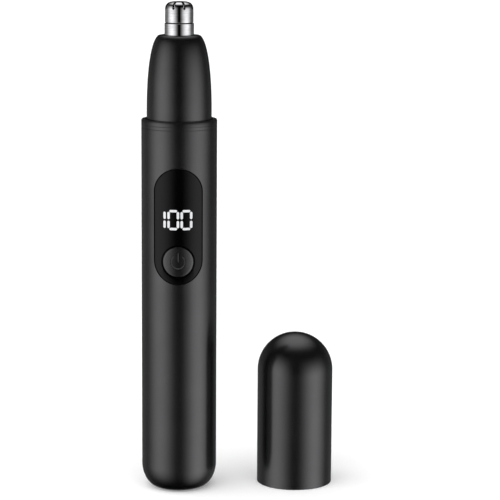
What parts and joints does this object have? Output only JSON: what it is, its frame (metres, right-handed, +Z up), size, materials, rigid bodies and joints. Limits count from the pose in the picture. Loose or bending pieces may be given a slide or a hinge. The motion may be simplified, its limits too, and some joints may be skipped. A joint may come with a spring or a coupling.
{
  "type": "nose hair trimmer",
  "caption": "Round pen-shaped rechargeable nose hair trimmer with a digital display, power button, pull-off rotary cutter head and domed cap standing beside it.",
  "frame": {"origin": "centre of the handle's flat base, on the surface that the trimmer and its cap stand on", "axes": "+Z up along the handle's axis to the cutter, -Y to the front with the display and button, +X to the cap"},
  "size_m": [0.054, 0.0262, 0.1368],
  "materials": {
    "anodised_black": "satin, anodised black",
    "head_black": "satin black",
    "window_gloss": "gloss",
    "button_anodised": "satin, anodised black",
    "lit_bars": "lit white",
    "polished_steel": "polished",
    "plain_steel": "plain",
    "brass_bush": "satin",
    "copper": "satin",
    "dark_plastic": "matte",
    "grey_plastic": "matte",
    "white_plastic": "matte",
    "black_rubber": "matte",
    "board_green": "solder mask",
    "cell_sleeve": "shrink sleeve",
    "red_wire": "insulation",
    "black_wire": "insulation",
    "magnet": "sintered"
  },
  "bodies": {
    "handle": {"handle_shell": "anodised_black", "display_window": "window_gloss", "window_carrier": "dark_plastic", "light_guide": "lit_bars", "display_module": "white_plastic", "main_board": "board_green", "board_screw_1": "plain_steel", "board_screw_2": "plain_steel", "tact_switch": "dark_plastic", "port_bezel": "dark_plastic", "usb_socket": "plain_steel", "usb_tongue": "dark_plastic", "charge_board": "board_green", "charge_board_screw_1": "plain_steel", "charge_board_screw_2": "plain_steel", "inner_chassis": "grey_plastic", "battery_cell": "cell_sleeve", "battery_tab_minus": "plain_steel", "battery_tab_plus": "plain_steel", "battery_pad": "black_rubber", "battery_lead_plus": "red_wire", "battery_lead_minus": "black_wire", "charge_lead": "red_wire", "motor_can": "plain_steel", "motor_magnet_1": "magnet", "motor_magnet_2": "magnet", "motor_end_cap": "white_plastic", "motor_brush_1": "copper", "motor_brush_2": "copper", "motor_front_bushing": "brass_bush", "motor_rear_bushing": "brass_bush", "motor_mount": "grey_plastic", "motor_screw_1": "plain_steel", "motor_screw_2": "plain_steel", "shaft_seal": "black_rubber", "motor_lead_plus": "red_wire", "motor_lead_minus": "black_wire", "neck_ring": "dark_plastic"},
    "button": {"power_button": "button_anodised", "switch_plunger": "white_plastic"},
    "rotor": {"motor_shaft": "plain_steel", "armature_core": "plain_steel", "armature_windings": "copper", "commutator": "copper", "drive_coupling": "white_plastic"},
    "head": {"head_plug": "dark_plastic", "head_o_ring": "black_rubber", "head_shell": "head_black", "bearing_plate": "dark_plastic", "lower_bush": "brass_bush", "upper_bush": "brass_bush", "cutter_sleeve": "polished_steel", "outer_cutter": "polished_steel"},
    "cutter_drive": {"drive_shaft": "plain_steel", "spring_collar": "white_plastic", "cutter_spring": "plain_steel"},
    "cutter": {"cutter_hub": "white_plastic", "inner_cutter": "polished_steel"},
    "cap": {"cap_shell": "anodised_black", "cap_liner": "dark_plastic"}
  },
  "joints": [
    {"name": "button_press", "type": "slide", "parent": "handle", "child": "button", "axis": [0, 1, 0], "range_m": [0, 0.00025], "stiffness_N_per_m": 400},
    {"name": "motor_spin", "type": "hinge", "parent": "handle", "child": "rotor", "pos_m": [0, 0, 0.0863], "axis": [0, 0, 1], "continuous": true},
    {"name": "head_pull", "type": "slide", "parent": "handle", "child": "head", "axis": [0, 0, 1], "range_m": [0, 0.03]},
    {"name": "cutter_spin", "type": "hinge", "parent": "head", "child": "cutter_drive", "pos_m": [0, 0, 0.12], "axis": [0, 0, 1], "continuous": true},
    {"name": "cutter_sink", "type": "slide", "parent": "cutter_drive", "child": "cutter", "axis": [0, 0, -1], "range_m": [0, 0.0005], "stiffness_N_per_m": 400, "deforming": ["cutter_spring"]},
    {"name": "cap_lift", "type": "slide", "parent": "handle", "child": "cap", "axis": [0, 0, 1], "range_m": [0, 0.14]}
  ],
  "couplings": [
    {"joint": "cutter_spin", "follows": "motor_spin", "ratio": 1}
  ]
}
